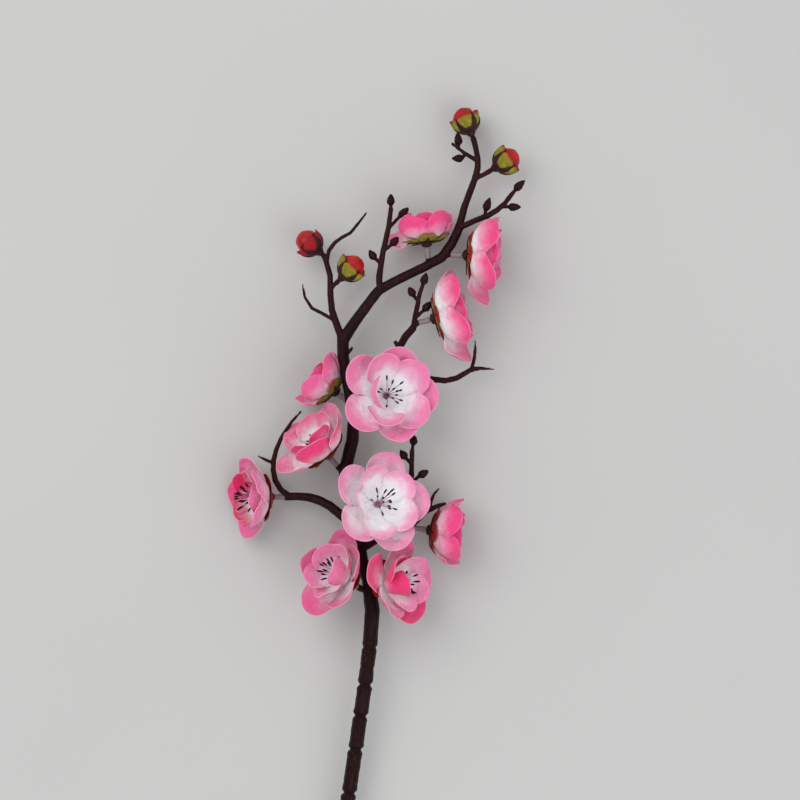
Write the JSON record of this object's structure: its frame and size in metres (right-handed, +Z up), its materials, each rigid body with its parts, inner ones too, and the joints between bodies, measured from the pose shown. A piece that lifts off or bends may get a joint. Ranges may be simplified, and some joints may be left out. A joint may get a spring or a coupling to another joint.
{
  "type": "artificial cherry blossom sprig",
  "caption": "Artificial cherry blossom sprig: a forked plastic branch with knob buds, round wrapped buds and double cloth flowers, lying on its back.",
  "frame": {"origin": "on the surface it lies on, under the middle of its bounding box", "axes": "+Y along the sprig from the cut end to the tip, +Z up from the surface, +X to the right as seen from above"},
  "size_m": [0.118, 0.37, 0.0448],
  "materials": {
    "branch_plastic": "dark oxblood moulded plastic, satin, finely pitted and streaked",
    "calyx_plastic": "dark maroon moulded plastic, satin",
    "clear_plastic": "cloudy clear moulded plastic with ink-dark filament tips",
    "bud_foam": "smooth painted foam ball, bright red",
    "wrap_cloth": "green woven polyester with red tinged edges",
    "petal_cloth": "heat formed woven polyester, dyed from white at the foot to pink at the rim"
  },
  "bodies": {
    "root": {"branch": "branch_plastic", "bud_1_ball": "bud_foam", "bud_1_wrap": "wrap_cloth", "bud_1_calyx": "calyx_plastic", "bud_2_ball": "bud_foam", "bud_2_wrap": "wrap_cloth", "bud_2_calyx": "calyx_plastic", "bud_3_ball": "bud_foam", "bud_3_wrap": "wrap_cloth", "bud_3_calyx": "calyx_plastic", "bud_4_ball": "bud_foam", "bud_4_wrap": "wrap_cloth", "bud_4_calyx": "calyx_plastic", "flower_1_stamens": "clear_plastic", "flower_1_calyx": "calyx_plastic", "flower_1_petals_outer": "petal_cloth", "flower_1_petals_inner": "petal_cloth", "flower_2_stamens": "clear_plastic", "flower_2_calyx": "calyx_plastic", "flower_2_petals_outer": "petal_cloth", "flower_2_petals_inner": "petal_cloth", "flower_3_stamens": "clear_plastic", "flower_3_calyx": "calyx_plastic", "flower_3_petals_outer": "petal_cloth", "flower_3_petals_inner": "petal_cloth", "flower_4_stamens": "clear_plastic", "flower_4_calyx": "calyx_plastic", "flower_4_petals_outer": "petal_cloth", "flower_4_petals_inner": "petal_cloth", "flower_5_stamens": "clear_plastic", "flower_5_calyx": "calyx_plastic", "flower_5_petals_outer": "petal_cloth", "flower_5_petals_inner": "petal_cloth", "flower_6_stamens": "clear_plastic", "flower_6_calyx": "calyx_plastic", "flower_6_petals_outer": "petal_cloth", "flower_6_petals_inner": "petal_cloth", "flower_7_stamens": "clear_plastic", "flower_7_calyx": "calyx_plastic", "flower_7_petals_outer": "petal_cloth", "flower_7_petals_inner": "petal_cloth", "flower_8_stamens": "clear_plastic", "flower_8_calyx": "calyx_plastic", "flower_8_petals_outer": "petal_cloth", "flower_8_petals_inner": "petal_cloth", "flower_9_stamens": "clear_plastic", "flower_9_calyx": "calyx_plastic", "flower_9_petals_outer": "petal_cloth", "flower_9_petals_inner": "petal_cloth", "flower_10_stamens": "clear_plastic", "flower_10_calyx": "calyx_plastic", "flower_10_petals_outer": "petal_cloth", "flower_10_petals_inner": "petal_cloth", "flower_11_stamens": "clear_plastic", "flower_11_calyx": "calyx_plastic", "flower_11_petals_outer": "petal_cloth", "flower_11_petals_inner": "petal_cloth"}
  },
  "joints": []
}
